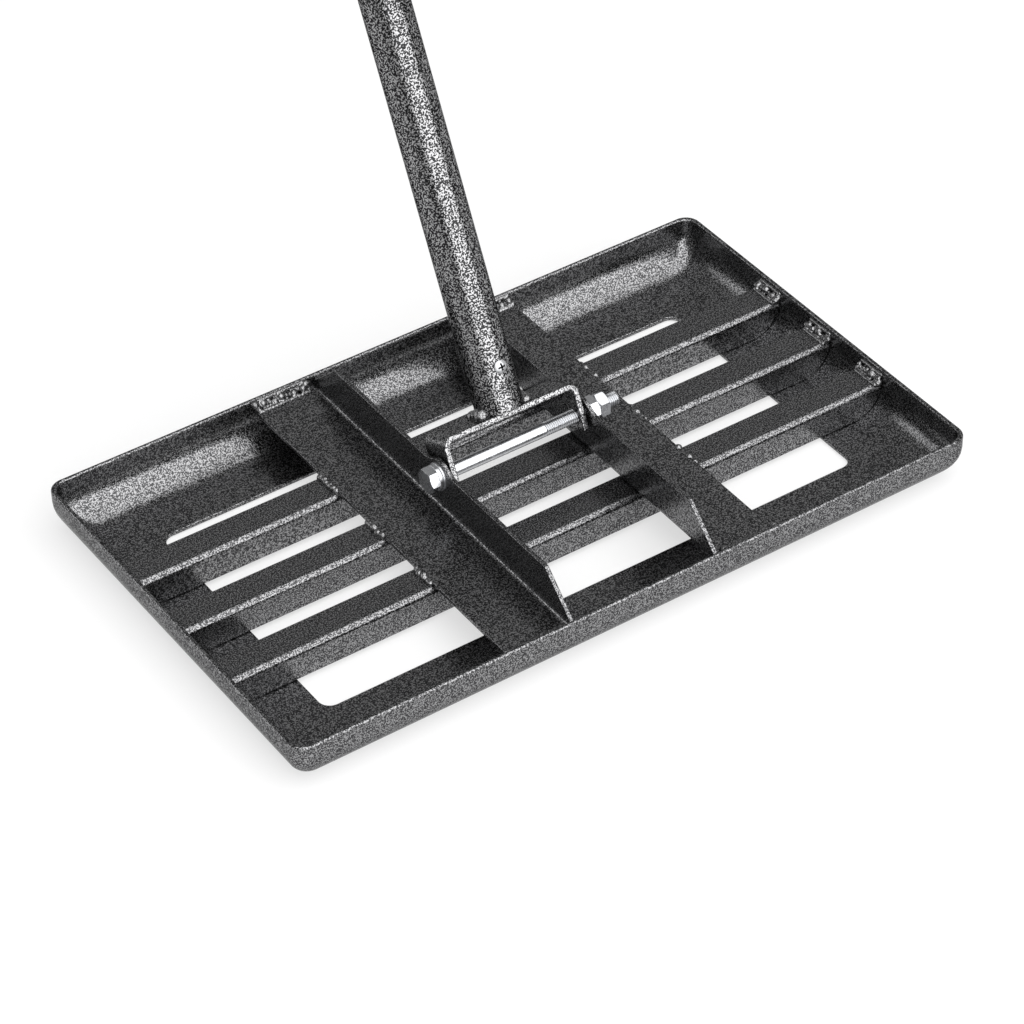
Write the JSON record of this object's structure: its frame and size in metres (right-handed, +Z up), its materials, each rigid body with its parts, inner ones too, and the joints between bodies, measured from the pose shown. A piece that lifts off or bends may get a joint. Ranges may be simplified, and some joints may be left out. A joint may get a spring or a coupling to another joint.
{
  "type": "lawn leveling rake",
  "caption": "Lawn leveling rake: a shallow steel pan with an open floor crossed by angle bars, and a tube handle on a yoke that tilts about a bolt between two bent cross-members.",
  "frame": {"origin": "middle of the pan's underside, on the ground plane, in the floor's opening", "axes": "+X along the pan to the right, +Y to the back where the handle leans, +Z up"},
  "size_m": [0.432, 0.7839, 1.3637],
  "materials": {
    "coated_steel": "semi-gloss black powder coat with fine silver veins",
    "zinc_steel": "bright zinc plate",
    "soft_grip": "matt black rubber"
  },
  "bodies": {
    "head": {"pan": "coated_steel", "bar_front": "coated_steel", "bar_middle": "coated_steel", "bar_back": "coated_steel", "cross_member_left": "coated_steel", "cross_member_right": "coated_steel", "bar_end_welds": "coated_steel", "bar_crossing_welds": "coated_steel", "cross_member_welds": "coated_steel", "pivot_bolt": "zinc_steel", "spring_washer": "zinc_steel", "plain_washer": "zinc_steel", "pivot_nut": "zinc_steel", "lock_nut": "zinc_steel"},
    "handle": {"yoke": "coated_steel", "handle_socket": "coated_steel", "socket_welds": "coated_steel", "handle_lower": "coated_steel", "spigot_lower": "coated_steel", "handle_middle": "coated_steel", "spigot_upper": "coated_steel", "handle_upper": "coated_steel", "handle_screws": "zinc_steel", "grip": "soft_grip", "end_plug": "soft_grip"}
  },
  "joints": [
    {"name": "handle_tilt", "type": "hinge", "parent": "head", "child": "handle", "pos_m": [0, -0.003, 0.044], "axis": [-1, 0, 0], "range_deg": [-112, 60]}
  ]
}
